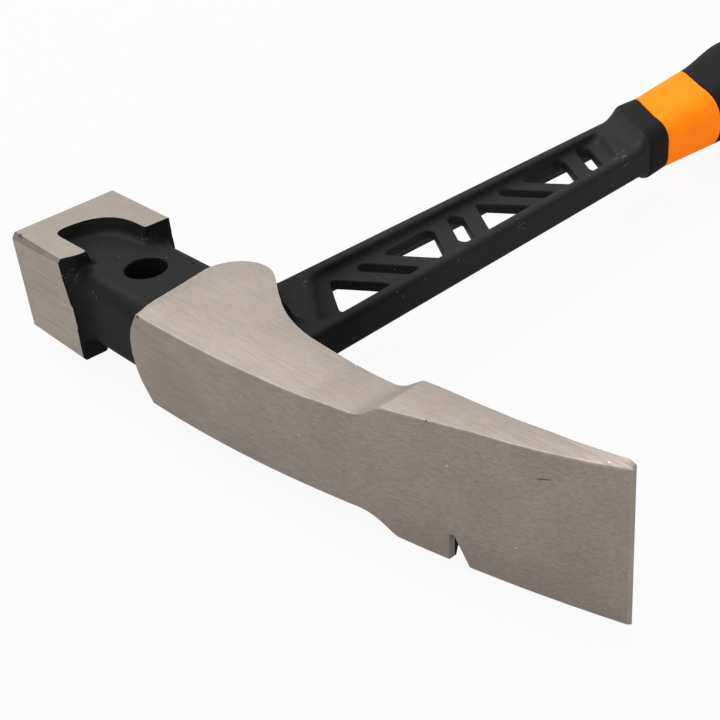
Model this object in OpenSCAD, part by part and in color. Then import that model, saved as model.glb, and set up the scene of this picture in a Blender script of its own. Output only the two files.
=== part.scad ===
// One-piece forged bricklayer hammer: square poll, waisted neck, ground cheek, drooping flared
// blade and a truss-cut I-beam shaft in one forging, with a moulded two-colour grip.
// It lies on its side. X runs from poll to blade, Y from head to grip end, Z across the blade.

/* [Head] */
// Distance from the shaft's centre line to the striking face
poll_reach = 67.8; // [60:0.2:80]
// Length of the square poll block
poll_len = 23.6; // [18:0.2:27]
// Width of the poll across its ground sides
poll_w = 27.2; // [25:0.2:32]
// Depth of the poll from its front to its back
poll_d = 29.4; // [27:0.2:32]
// Set-back of the poll's front behind the cheek's front
poll_set = 0.6; // [0:0.1:2]
// Bevel of the poll's front edges at the striking face
bevel_face = 1.6; // [0.8:0.1:3]
// Bevel of the poll's front edges at the shoulder
bevel_shoulder = 0.9; // [0.4:0.1:1.2]
// Bevel round the striking face and along the poll's back edges
bevel_back = 0.4; // [0.2:0.1:0.7]
// Thickness of the neck across its flat sides
neck_w = 19.8; // [18:0.2:21]
// Depth of the neck from front to back
neck_d = 24.8; // [22:0.2:26]
// Rounding of the neck's long edges
neck_round = 3.5; // [2:0.1:5]
// Length over which the neck spreads into poll and cheek
neck_fillet = 2.8; // [1.5:0.1:3]
// Diameter of the cross hole in the neck
hole_d = 10; // [6:0.1:12]
// Distance of the cross hole from the shaft's centre line
hole_x = 33; // [32:0.2:34]
// Width of the thumb-shaped pocket in each poll land
pocket_w = 16; // [14:0.2:17]
// Length of the thumb-shaped pocket from the shoulder
pocket_len = 14.5; // [12:0.1:16]
// Rounding of the pocket's corner towards the front
pocket_round = 2.6; // [2.4:0.1:2.9]
// Rounding of the pocket's corner towards the shaft
pocket_thumb = 11; // [8:0.5:11]
// Inset of the pocket's wall at its floor
pocket_draft = 2.2; // [1:0.1:2.3]

/* [Cheek and blade] */
// Thickness of the cheek across its lands on the poll side
cheek_w = 23.5; // [22:0.1:25]
// Distance from the shaft's centre line to the cheek's poll side
cheek_reach = 16.5; // [15:0.5:18]
// Depth of the cheek's back corner behind its front
cheek_d = 40.1; // [38:0.1:42]
// Lean of the cheek's poll side between front and back
cheek_lean = 2.2; // [0:0.1:4]
// Rounding of the cheek's front corner
cheek_round = 3; // [1:0.1:4]
// Rounding of the cheek's back corner
heel_round = 9; // [6:0.5:10]
// Slope of the cheek's back from its corner down to the throat
heel_slope = 0.657; // [0.62:0.001:0.7]
// Bulge of the forged cheek at its parting line
cheek_bulge = 3.7; // [2:0.1:4.5]
// Radius of the throat between cheek and blade
throat_r = 40; // [30:1:45]
// Thickness of the head at the foot of the blade's flare
throat_w = 22.3; // [21:0.1:24]
// Depth of the head behind its front at the throat
throat_d = 19.2; // [18.6:0.1:20]
// Hollow of the blade's back between throat and flare
throat_dip = 1.6; // [0.8:0.1:2]
// Distance from the shaft's centre line to the blade's tip
blade_reach = 102.4; // [95:0.2:115]
// Width of the cutting edge
tip_w = 35.8; // [33:0.2:40]
// Width of the blade just past the flare
flare_w = 29.8; // [28:0.2:32]
// Distance of the flare's crest from the shaft's centre line
flare_x = 55; // [53:0.2:57]
// Length of the ramp up to the flare's crest
flare_run = 6; // [5:0.1:7]
// Set-back of the flare's crest on the notched side
flare_skew = 1.6; // [0:0.1:3]
// Rounding at the foot of the flare's ramp
flare_round = 14; // [8:0.5:14]
// Droop of the cutting edge behind the cheek's front
droop = 20.6; // [19:0.2:24]
// Radius of the blade's curved back
back_r = 180; // [120:5:200]
// Thickness of the cutting edge
edge_t = 0.9; // [0.6:0.1:1.5]
// Length of the ground bevel behind the cutting edge
edge_len = 2.8; // [2:0.1:5]
// Rise of the ground bevel behind the cutting edge
edge_rise = 0.8; // [0.4:0.1:1.2]
// Distance of the nail notch from the shaft's centre line
notch_x = 68; // [62:0.2:75]
// Width of the nail notch at its mouth
notch_w = 4.4; // [3:0.1:6]
// Width of the nail notch at its bottom
notch_end = 1; // [0.6:0.1:1.5]
// Depth of the nail notch
notch_d = 7.4; // [5:0.1:9]

/* [Shaft] */
// Width of the shaft where it leaves the head
shaft_w_head = 26.2; // [24:0.2:28]
// Width of the shaft in front of the grip
shaft_w_grip = 20.4; // [20:0.1:21.6]
// Thickness of the shaft over its flanges
shaft_t = 8; // [7:0.1:9]
// Thickness of the web between the flanges
web_t = 2.8; // [2:0.1:4]
// Width of each flange along its top
flange_w = 3.4; // [2.8:0.1:3.6]
// Rounding of the flanges' outer edges
flange_round = 1.4; // [0.8:0.1:1.8]
// Rounding of the flanges' inner edges
flange_lip = 0.5; // [0.2:0.1:0.8]
// Fillet between web and flanges at the head
web_fillet = 1.6; // [0.8:0.1:2]
// Pitch of the windows in the web
window_pitch = 12.4; // [12:0.1:12.8]
// Distance of the first window from the cheek's front
window_start = 48; // [47.4:0.2:49]
// Number of windows in the web
window_count = 8; // [6:1:8]
// Width of the windowed strip of the web
window_w = 13.2; // [11:0.2:13.6]
// Half height of a triangular window at the centre line
triangle_h = 4.6; // [4:0.1:4.8]
// Width of a slot window
slot_w = 4; // [3:0.1:4.5]
// Rounding of a triangular window's corners
window_round = 1.1; // [0.5:0.1:1.5]
// Distance of the web pocket's head end from the cheek's front
recess_start = 36.4; // [35.4:0.2:37]
// Distance of the web pocket's grip end from the cheek's front
recess_end = 142; // [140:0.2:143]
// Length of the sloping run-outs of the web pocket
run_out = 2.8; // [2:0.1:3]

/* [Grip] */
// Overall length from the cheek's front to the butt
total_len = 290; // [280:1:310]
// Distance of the grip's front edge from the cheek's front
grip_start = 151.5; // [150.5:0.1:153]
// Offset of the grip's axis towards the poll
grip_x = 0.6; // [0:0.1:1]
// Slope of the truss struts and of the grip's slanting lines
slant = 0.62; // [0.5:0.01:0.66]
// Distance from the grip's axis at which its slanting lines flatten towards the blade
slant_reach = 6; // [5:0.1:8]
// Share of the slope that is left on the blade side
slant_rest = 0.35; // [0:0.05:0.6]
// Length of the bolster that spreads the shaft to the grip
bolster_len = 5; // [4:0.1:6]
// Length of the front collar
collar_len = 8.3; // [7:0.1:10]
// Length of the orange band
band_len = 21; // [18:0.2:24]
// Width of the grip at its front edge
collar_w = 22.2; // [22:0.1:23]
// Thickness of the grip at its front edge
collar_t = 14.3; // [14:0.1:15]
// Rounding of the grip's section at its front edge
collar_round = 4.4; // [3.5:0.1:5]
// Taper of the collar from front to back
collar_taper = 0.6; // [0:0.1:1]
// Width of the grip at the back of the band
waist_w = 25.8; // [25:0.2:27]
// Thickness of the grip at the back of the band
waist_t = 16.8; // [16.4:0.2:18]
// Width of the grip across the palm
palm_w = 31; // [30:0.2:33]
// Thickness of the grip across the palm
palm_t = 23; // [22:0.2:24]
// Width of the grip at the butt
butt_w = 35; // [34:0.2:37]
// Thickness of the grip at the butt
butt_t = 24; // [23:0.2:25]
// Share of the grip's half thickness that its rounding takes up behind the collar
grip_oval = 0.92; // [0.8:0.01:0.96]
// Length of the butt cap
cap_len = 22; // [21:0.5:24]
// Wall of the soft sleeve and of the collar
soft_wall = 2.2; // [1.8:0.1:2.4]
// Depth of the sleeve's grip grooves
groove_d = 0.9; // [0.4:0.1:1.2]
// Number of the sleeve's grip grooves
groove_count = 9; // [5:1:10]
// Width of the tang inside the grip at its front
tang_w = 14.4; // [12:0.2:15]
// Width of the tang at its end
tang_end_w = 11; // [9:0.2:12]
// Thickness of the tang
tang_t = 6.4; // [5:0.1:6.6]
// Distance of the tang's end from the butt cap
tang_set = 12.5; // [8:0.5:40]
// Diameter of the keying holes through the tang
key_d = 6; // [4:0.2:7]
// Diameter of the hanging hole
hang_d = 8; // [6:0.2:8.4]
// Distance of the hanging hole from the butt
hang_set = 10; // [9:0.2:10]
// Clearance between moulded pieces
fit_gap = 0.1; // [0.05:0.01:0.2]

/* [Hidden] */
$fn = 64;
paint = "dimgray";
orange = "orange";
soft = "black";
over = 1;
sharp = 0.05;
mid_x = (blade_reach - poll_reach) / 2;
head_mid = poll_set + poll_d / 2;
shoulder_x = poll_len - poll_reach;
// The head's long front curve starts just behind the cheek's front corner
front_x = cheek_round + 0.5 - cheek_reach;
front_r = (pow(blade_reach - front_x, 2) + pow(droop, 2)) / (2 * droop);
heel_x = -cheek_reach - cheek_lean;
// Where the cheek's back line runs down to the throat
throat_x = heel_x + (cheek_d - throat_d) / heel_slope;
band_start = grip_start + collar_len;
sleeve_start = band_start + band_len;
cap_start = total_len - cap_len;
tail_end = cap_start + cap_len * 0.28;
tail_in = 1.6;
tang_len = cap_start - tang_set - grip_start;

// Unit vector along v
function unit(v) = v / norm(v);

// Points round corner q between neighbours p and s; q is [x, y, radius]
function corner(p, q, s, steps) =
    let (
        o = [q.x, q.y],
        u = unit([p.x, p.y] - o),
        v = unit([s.x, s.y] - o),
        half = acos(u * v) / 2,
        c = o + unit(u + v) * q[2] / sin(half),
        d = o + u * q[2] / tan(half) - c,
        side = sign(u.x * v.y - u.y * v.x),
        turn = (180 - 2 * half) * -side
    )
    q[2] == 0 ? [o] :
    [for (i = [0:steps])
        let (a = turn * i / steps)
        c + [d.x * cos(a) - d.y * sin(a), d.x * sin(a) + d.y * cos(a)]];

// Outline through corners [x, y, radius], each rounded by its own radius
function rounded(corners, steps = 6) =
    let (n = len(corners))
    [for (i = [0:n - 1])
        each corner(corners[(i + n - 1) % n], corners[i], corners[(i + 1) % n], steps)];

// Corners of a convex outline moved outwards by d, with their rounds
function grown(corners, d) =
    let (n = len(corners))
    [for (i = [0:n - 1])
        let (
            q = corners[i],
            p = corners[(i + n - 1) % n],
            s = corners[(i + 1) % n],
            o = [q.x, q.y],
            u = unit([p.x, p.y] - o),
            v = unit([s.x, s.y] - o),
            m = o - unit(u + v) * d / sin(acos(u * v) / 2)
        )
        [m.x, m.y, max(q[2] + d, sharp)]];

// Rounded rectangle of half sizes a and b about the origin
function plate(a, b, r, steps = 5) = rounded([[a, -b, r], [a, b, r], [-a, b, r], [-a, -b, r]], steps);

// Solid through rings of equal point counts, each running counter-clockwise seen from the last ring.
// Bent end faces are closed by flat strips between mirrored points
module loft(rings, bent = false) {
    n = len(rings[0]);
    top = (len(rings) - 1) * n;
    strips = [for (i = [0:n / 2 - 2]) [i, i + 1, n - 2 - i, n - 1 - i]];
    first = bent ? strips : [[for (i = [0:n - 1]) i]];
    last = [for (f = first) [for (i = [len(f) - 1:-1:0]) top + f[i]]];
    sides = [for (k = [0:n:top - n]) for (i = [0:n - 1])
        let (a = k + i, b = k + (i + 1) % n)
        each [[a, a + n, b + n], [a, b + n, b]]];
    polyhedron([for (r = rings) each r], concat(first, last, sides));
}

// Outline in X and Y lifted to height z
function level(outline, z) = [for (p = outline) [p.x, p.y, z]];

// Section across the handle about x at y: half sizes a and b, round r. It slants back towards
// the poll and flattens on the blade side
function leaning(x) = x < slant_reach ? x : slant_reach + (x - slant_reach) * slant_rest;
function across(y, a, b, r, tilt = 0, x = 0) =
    [for (p = plate(b, a, r)) [x + p.y, y - tilt * leaning(p.y), p.x]];

// Section across the head at x, y: half sizes a and b in Y and Z, round r
function along(x, y, a, b, r) = [for (p = plate(a, b, r)) [x, y + p.x, p.y]];

// Half width of the shaft at distance y from the cheek's front
function shaft_half(y) =
    (shaft_w_head + (shaft_w_grip - shaft_w_head) * (y - throat_d) / (grip_start - throat_d)) / 2;

// Share of a quarter-round fillet reached at share t of its length
function hollow(t) = 1 - sqrt(1 - t * t);

module place() {
    translate([-mid_x, -total_len / 2, tip_w / 2]) children();
}

// Poll block; the bevels of its front edges narrow towards the shoulder
module poll() {
    a = poll_d / 2;
    b = poll_w / 2;
    function ring(x, e, c, k) = [
        for (p = [
            [a - e - k, -b + e], [a - e, -b + e + k], [a - e, b - e - k], [a - e - k, b - e],
            [-a + e + c, b - e], [-a + e, b - e - c], [-a + e, -b + e + c], [-a + e + c, -b + e]
        ]) [x, head_mid + p.x, p.y]];
    loft([
        ring(-poll_reach, bevel_back, bevel_face - bevel_back, bevel_back),
        ring(bevel_back - poll_reach, 0, bevel_face, bevel_back),
        ring(shoulder_x, 0, bevel_shoulder, bevel_back)
    ]);
}

// Thumb-shaped pocket that carries the neck's flat on into the poll's land
module pocket() {
    mouth = shoulder_x + neck_fillet + over;
    depth = (poll_w - neck_w) / 2;
    corners = [
        [mouth, head_mid - pocket_w / 2, sharp],
        [mouth, head_mid + pocket_w / 2, sharp],
        [shoulder_x - pocket_len, head_mid + pocket_w / 2, pocket_thumb],
        [shoulder_x - pocket_len, head_mid - pocket_w / 2, pocket_round]
    ];
    walls = [for (a = [0:22.5:90]) level(
        rounded(grown(corners, -pocket_draft * (1 - sin(a)))),
        neck_w / 2 + depth * (1 - cos(a))
    )];
    loft(concat(walls, [level(rounded(corners), poll_w / 2 + over)]));
}

// Neck between poll and cheek, spreading at both ends
module neck() {
    start_x = shoulder_x;
    end_x = -cheek_reach - cheek_bulge / 2;
    deep = (poll_d - neck_d) * 0.4;
    wide = (cheek_w - neck_w) * 0.35;
    function ring(x, e, z) = along(x, head_mid, neck_d / 2 + deep * e, neck_w / 2 + z * e, neck_round);
    loft(concat(
        [ring(start_x - over, 1, neck_fillet)],
        [for (t = [1, 0.97, 0.85, 0.65, 0.4, 0])
            ring(start_x + (1 - t) * neck_fillet, hollow(t), neck_fillet)],
        [for (t = [0, 0.4, 0.65, 0.85, 0.97, 1]) ring(end_x - (1 - t) * neck_fillet, hollow(t), wide)],
        [ring(front_x, 1, wide)]
    ));
}

// Forged end of the cheek, which bulges towards the poll at its parting line
module cheek_end() {
    inner_x = front_x + cheek_reach;
    function bulge(k) = cheek_bulge * max(0, 1 - pow(k / 5, 2));
    loft([for (k = [-6:6])
        let (d = bulge(k))
        level(rounded([
            [-cheek_reach - d, 0, max(cheek_round - 0.6 * d, cheek_round / 4)],
            [front_x, 0, sharp],
            [inner_x, cheek_d - heel_slope * (inner_x - heel_x), sharp],
            [heel_x - d, cheek_d + heel_slope * d, heel_round]
        ]), cheek_w / 2 * k / 5)]);
}

// Plan of cheek and blade at the ground lands
module head_plan() {
    polygon(rounded([
        [-cheek_reach, 0, cheek_round],
        [front_x + front_r * tan(asin((blade_reach - front_x) / front_r) / 2), 0, front_r],
        [blade_reach, droop, 0],
        [blade_reach - edge_t / 2, droop + edge_t, 0],
        [blade_reach - edge_len, droop + edge_t + edge_rise, 0.5],
        [blade_reach * 0.75, throat_d, back_r],
        [flare_x + flare_run / 2, throat_d, 50],
        [flare_x - 2 * flare_run, throat_d - throat_dip, 90],
        [throat_x, throat_d, throat_r],
        [heel_x, cheek_d, heel_round]
    ], 10));
}

// Side outline of cheek and blade across the lands, flaring towards the cutting edge
module head_side() {
    upper = [
        [-cheek_reach - cheek_bulge - over, cheek_w / 2, 0],
        [flare_x - flare_run, throat_w / 2, flare_round],
        [flare_x, flare_w / 2, 3],
        [blade_reach, tip_w / 2, 0]
    ];
    polygon(rounded(concat(
        [for (i = [0:3]) [upper[i].x + (i == 1 || i == 2 ? flare_skew : 0), -upper[i].y, upper[i][2]]],
        [for (i = [3:-1:0]) upper[i]]
    ), 8));
}

// Nail notch in the lower edge of the blade: one wall upright, one sloping
module nail_notch() {
    rise = (tip_w - flare_w) / 2 * (notch_x - flare_x) / (blade_reach - flare_x);
    z = -flare_w / 2 - rise;
    slope = (notch_w - notch_end) / notch_d;
    translate([notch_x, 2 * droop, 0])
        rotate([90, 0, 0])
            linear_extrude(3 * droop)
                polygon([
                    [0, z - 2 * over],
                    [notch_w + slope * 2 * over, z - 2 * over],
                    [notch_end, z + notch_d],
                    [notch_end * 0.6, z + notch_d]
                ]);
}

// Cheek and blade
module cheek_and_blade() {
    difference() {
        intersection() {
            union() {
                cheek_end();
                translate([0, 0, -tip_w]) linear_extrude(2 * tip_w) head_plan();
            }
            translate([0, 3 * droop, 0])
                rotate([90, 0, 0])
                    linear_extrude(4 * droop) head_side();
        }
        nail_notch();
    }
}

// Shaft bar with rounded edges, and the bolster that spreads to meet the grip
module shaft_bar() {
    start = throat_d / 2;
    foot = grip_start - bolster_len;
    step = 0.3;
    grow = [
        collar_w / 2 - step - shaft_half(foot),
        (collar_t - shaft_t) / 2 - step,
        collar_round - step - flange_round
    ];
    loft(concat(
        [across(start, shaft_half(start), shaft_t / 2, flange_round)],
        [for (t = [0:0.2:1])
            let (e = pow(t, 1.6))
            across(foot + bolster_len * t, shaft_half(foot) + grow[0] * e, shaft_t / 2 + grow[1] * e,
                flange_round + grow[2] * e, slant, -grip_x * e)]
    ), true);
}

// Pocket on one side of the web, with slanting run-outs at both ends
module web_pocket() {
    lean = slant * 1.1;
    top = shaft_t / 2;
    low = web_t / 2;
    function ring(side, end, z) =
        let (
            ya = recess_start + end,
            yb = recess_end - end,
            xa = shaft_half(ya) - flange_w - side,
            xb = shaft_half(yb) - flange_w - side * 0.2
        )
        level(rounded([
            [xa, ya - lean * xa, 3], [xb, yb - lean * xb, 2],
            [-xb, yb + lean * xb, 2], [-xa, ya + lean * xa, 2]
        ], 5), z);
    loft([
        ring(web_fillet, run_out, low),
        ring(web_fillet * 0.5, run_out * 0.8, low + web_fillet * 0.25),
        ring(web_fillet * 0.2, run_out * 0.5, low + web_fillet * 0.7),
        ring(web_fillet * 0.1, run_out * 0.15, top - flange_lip * 1.4),
        ring(0, 0, top - flange_lip * 0.6),
        ring(-flange_lip, -flange_lip, top + 0.01),
        ring(-flange_lip, -flange_lip, top + over)
    ]);
}

// Triangular window at y, pointing to the poll side (-1) or the blade side (1)
module triangle(y, point) {
    w = window_w / 2;
    base = triangle_h + slant * w;
    polygon(rounded([
        [point * triangle_h / slant, y, window_round],
        [-point * w, y + point * base, window_round],
        [-point * w, y - point * base, window_round]
    ], 5));
}

// Slot window at y, parallel to a side of the triangles, leaning one way (1) or the other (-1)
module slot(y, lean) {
    w = window_w / 2;
    dir = unit([1, lean * slant]);
    side = [-dir.y, dir.x] * slot_w / 2;
    ends = [[-w, y - lean * slant * w], [w, y + lean * slant * w]];
    polygon(rounded([
        for (p = [ends[0] - side, ends[1] - side, ends[1] + side, ends[0] + side])
            [p.x, p.y, slot_w / 2 - sharp]
    ], 6));
}

// Windows of the web: triangles and slots take turns, so that the struts form a truss
module windows() {
    translate([0, 0, -shaft_t])
        linear_extrude(2 * shaft_t)
            for (k = [0:window_count - 1]) {
                y = window_start + k * window_pitch;
                if (k % 2 == 0) triangle(y, k % 4 == 0 ? -1 : 1);
                else slot(y, k % 4 == 1 ? 1 : -1);
            }
}

// Tang that the grip is moulded round, with keying holes; gap grows it into its cavity
module tang(gap = 0) {
    a = tang_w / 2 + gap;
    b = tang_end_w / 2 + gap;
    start = grip_start - 2 * over;
    end = grip_start + tang_len + gap;
    difference() {
        translate([-grip_x, 0, -tang_t / 2 - gap])
            linear_extrude(tang_t + 2 * gap)
                polygon(rounded([
                    [a, start - slant * a, 0], [b, end, 3], [-b, end, 3], [-a, start + slant * a, 0]
                ], 6));
        for (f = [0.42, 0.64, 0.86])
            translate([-grip_x, grip_start + f * tang_len, -tang_t])
                cylinder(d = key_d - 2 * gap, h = 2 * tang_t);
    }
}

// The forging: head, shaft, bolster and tang in one piece
module forged_body() {
    color(paint) place() {
        difference() {
            union() {
                poll();
                neck();
            }
            for (s = [0, 1]) mirror([0, 0, s]) pocket();
            translate([-hole_x, head_mid, -neck_w]) cylinder(d = hole_d, h = 2 * neck_w);
        }
        cheek_and_blade();
        difference() {
            shaft_bar();
            for (s = [0, 1]) mirror([0, 0, s]) web_pocket();
            windows();
        }
        tang();
    }
}

// Stations of the grip's outer surface: distance from its front edge, half width, half
// thickness and rounding
function oval(y, w, t) = [y, w / 2, t / 2, t / 2 * grip_oval];
stations = [
    [0, collar_w / 2, collar_t / 2, collar_round],
    [collar_len, (collar_w - collar_taper) / 2, (collar_t - collar_taper / 2) / 2, collar_round * 1.1],
    oval(collar_len + band_len, waist_w, waist_t),
    oval(collar_len + band_len * 2, palm_w * 0.97, palm_t * 0.97),
    oval(collar_len + band_len * 3, palm_w, palm_t),
    oval(cap_start - grip_start - cap_len * 0.7, palm_w * 0.97, palm_t * 0.98),
    oval(cap_start - grip_start, butt_w * 0.97, butt_t * 0.98),
    oval(total_len - grip_start - hang_set, butt_w, butt_t),
    oval(total_len - grip_start, butt_w * 0.96, butt_t * 0.96)
];
function ease(t) = t * t * (3 - 2 * t);
function between(s, t) =
    let (
        k = max([for (i = [0:len(stations) - 2]) if (stations[i][0] <= t + 0.001) i]),
        f = (t - stations[k][0]) / (stations[k + 1][0] - stations[k][0])
    )
    stations[k][s] + (stations[k + 1][s] - stations[k][s]) * (k < 2 ? f : ease(f));

// Slant of a line round the grip: full at the front, none at the butt
function tilt_at(y) = slant * (1 - max(0, min(1, (y - sleeve_start) / (cap_start - sleeve_start))));

// Section of the grip at y, grown by d
function grip_ring(y, d = 0) =
    let (t = y - grip_start)
    across(y, between(1, t) + d, between(2, t) + d, max(between(3, t) + d, 1), tilt_at(y), -grip_x);

// Orange core moulded round the tang: spigot, band, seat for the sleeve and tail for the cap
module grip_core() {
    seat = cap_start - sleeve_start + over;
    color(orange) place() difference() {
        union() {
            loft([for (y = [grip_start + fit_gap, band_start + over]) grip_ring(y, -soft_wall)], true);
            loft([for (f = [0:0.25:1]) grip_ring(band_start + band_len * f)], true);
            loft([for (f = [0:0.125:1]) grip_ring(sleeve_start - over + seat * f, -soft_wall)], true);
            loft([for (y = [cap_start - over, tail_end]) grip_ring(y, -soft_wall - tail_in)], true);
        }
        tang(fit_gap);
    }
}

// Soft collar that fills the step between bolster and band
module front_collar() {
    color(soft) place() difference() {
        loft([
            grip_ring(grip_start + fit_gap, -0.5),
            grip_ring(grip_start + 0.6, 0),
            grip_ring(band_start - fit_gap, 0)
        ], true);
        loft([for (y = [grip_start, band_start + fit_gap]) grip_ring(y, fit_gap - soft_wall)], true);
    }
}

// Soft sleeve with shallow grooves across the palm
module grip_sleeve() {
    start = sleeve_start + fit_gap;
    l = cap_start - sleeve_start - 2 * fit_gap;
    plain = 26;
    pitch = (l - plain - cap_len) / groove_count;
    groove = [[0, 0], [0.18, 1], [0.36, 1], [0.54, 0]];
    marks = concat(
        [[0, 0], [plain * 0.3, 0], [plain * 0.6, 0]],
        [for (k = [0:groove_count - 1]) for (g = groove) [plain + pitch * (k + g.x), g.y]],
        [[l - cap_len * 0.6, 0], [l - cap_len * 0.25, 0], [l, 0]]
    );
    color(soft) place() difference() {
        loft([for (m = marks) grip_ring(start + m.x, -groove_d * m.y)], true);
        loft([for (f = [0:0.125:1])
            grip_ring(sleeve_start + (cap_start - sleeve_start) * f, fit_gap - soft_wall)], true);
    }
}

// Hard butt cap with a hanging hole, pushed over the core's tail
module butt_cap() {
    start = cap_start + fit_gap;
    l = cap_len - fit_gap;
    crown = [[0, 0], [0.2, 0], [0.4, 0], [0.6, 0], [0.8, 0.4], [0.9, 1.4], [0.96, 2.8], [1, 5.5]];
    color(orange) place() difference() {
        loft([for (c = crown) grip_ring(start + l * c.x, -c.y)], true);
        loft([for (y = [cap_start - over, tail_end + fit_gap])
            grip_ring(y, fit_gap - soft_wall - tail_in)], true);
        translate([-grip_x, total_len - hang_set, -butt_t]) cylinder(d = hang_d, h = 2 * butt_t);
    }
}

forged_body();
grip_core();
front_collar();
grip_sleeve();
butt_cap();
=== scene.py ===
import math

import bmesh
import bpy
import numpy as np
from mathutils import Matrix, Vector


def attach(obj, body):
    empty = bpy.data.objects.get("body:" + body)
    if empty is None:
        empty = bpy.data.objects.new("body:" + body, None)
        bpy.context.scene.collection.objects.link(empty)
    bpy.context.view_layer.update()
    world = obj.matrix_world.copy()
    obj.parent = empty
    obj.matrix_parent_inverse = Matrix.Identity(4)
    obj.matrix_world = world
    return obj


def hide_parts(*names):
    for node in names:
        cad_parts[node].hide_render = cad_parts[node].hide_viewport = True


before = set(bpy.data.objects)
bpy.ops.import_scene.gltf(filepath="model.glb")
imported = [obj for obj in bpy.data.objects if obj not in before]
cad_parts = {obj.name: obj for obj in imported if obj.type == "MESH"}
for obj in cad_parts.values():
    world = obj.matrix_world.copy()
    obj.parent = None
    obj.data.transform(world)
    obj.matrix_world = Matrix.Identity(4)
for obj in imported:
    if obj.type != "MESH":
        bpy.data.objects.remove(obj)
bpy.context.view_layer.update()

# the hammer is drawn in its own millimetres, then moved to the shared frame
MM = 0.001
ORIGIN = Vector((-17.3, -145, 17.9))


def placed(point):
    """A point of the hammer's millimetres in the shared frame."""
    return (Vector(point) + ORIGIN) * MM


# Materials

# spots on the surface are (x, y, z, radius) in the hammer's millimetres: painted shade in the corner at the
# shaft's root, places where the paint is rubbed, and small nicks in the ground steel
ROOT_SHADE = ((-4, 33, 5, 16), (7, 33, 5, 14))
RUBBED = ((-5.7, 40.6, 4, 2.4), (5.5, 138.5, 4, 3.2), (9.5, 136, 3.8, 3.2), (12.6, 131, 0.5, 3),
          (-45.5, 2, 9, 2.5), (11.8, 60, 3.2, 2), (12, 95, 3, 3), (-45, 24, 10, 3))
NICKS = ((3.0, -0.1, 11.2, 0.4), (6.0, 0, 11.1, 0.35), (-13.7, 0.2, 11.2, 0.7), (65.2, 9.3, 15.9, 0.3),
         (-65.2, 1.6, 13.6, 0.9), (-64, 1.3, 13.5, 0.7))
# the paint turns greyer between these two Y of the shared frame
SHAFT_GREYS = (-0.1, -0.075)
# the belt's lines lean a little from the x axis
BELT_TURN = (0, 0.06, 0)
BUMP_DEPTH = 0.0001


class Tree:
    """Adds and links the nodes of one tree with short calls."""

    def __init__(self, tree):
        self.tree = tree

    def add(self, kind, **settings):
        n = self.tree.nodes.new(kind)
        for k, v in settings.items():
            setattr(n, k, v)
        return n

    def feed(self, socket, value):
        if isinstance(value, bpy.types.NodeSocket):
            self.tree.links.new(value, socket)
        elif value is not None:
            socket.default_value = value

    def span(self, value, lo, hi, a=0.0, b=1.0, kind="SMOOTHSTEP"):
        """The value carried from the range lo to hi over to a to b."""
        n = self.add("ShaderNodeMapRange", interpolation_type=kind)
        for k, v in zip(("Value", "From Min", "From Max", "To Min", "To Max"), (value, lo, hi, a, b)):
            self.feed(n.inputs[k], v)
        return n.outputs[0]

    def math(self, op, *values):
        n = self.add("ShaderNodeMath", operation=op)
        for socket, value in zip(n.inputs, values):
            self.feed(socket, value)
        return n.outputs[0]


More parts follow.
